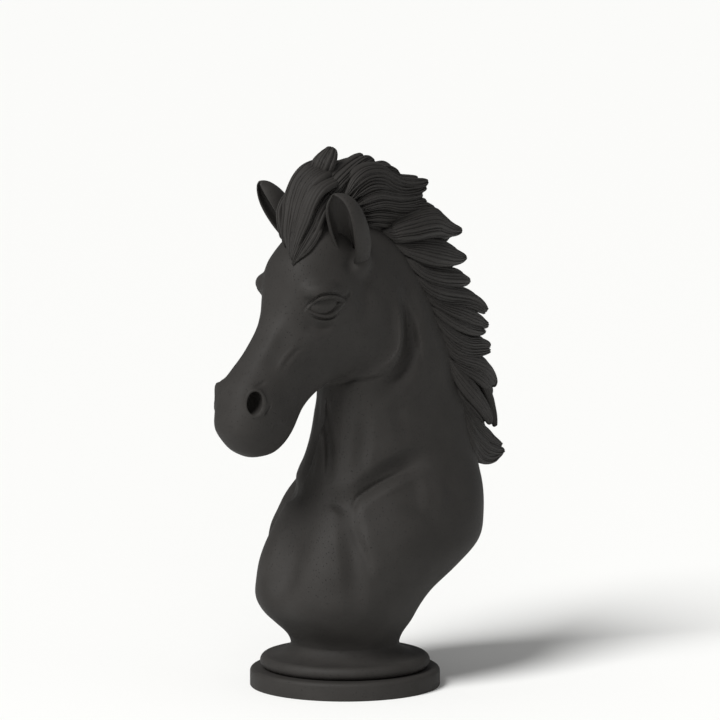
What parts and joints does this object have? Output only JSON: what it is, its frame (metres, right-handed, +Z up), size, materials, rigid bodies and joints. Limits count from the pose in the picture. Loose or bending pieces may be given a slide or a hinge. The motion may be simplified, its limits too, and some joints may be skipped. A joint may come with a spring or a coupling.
{
  "type": "chess knight sculpture",
  "caption": "Horse-head chess knight sculpture: arched neck, flowing carved mane and full breast over a low turned foot, in matte black cast resin.",
  "frame": {"origin": "centre of the round foot's flat underside", "axes": "+Z up, -Y the way the horse faces, +X its left side"},
  "size_m": [0.228, 0.4704, 0.6585],
  "materials": {
    "cast_resin": "matte black cast resin with fine pinholes and faint mottling"
  },
  "bodies": {
    "root": {"chess_knight": "cast_resin"}
  },
  "joints": []
}
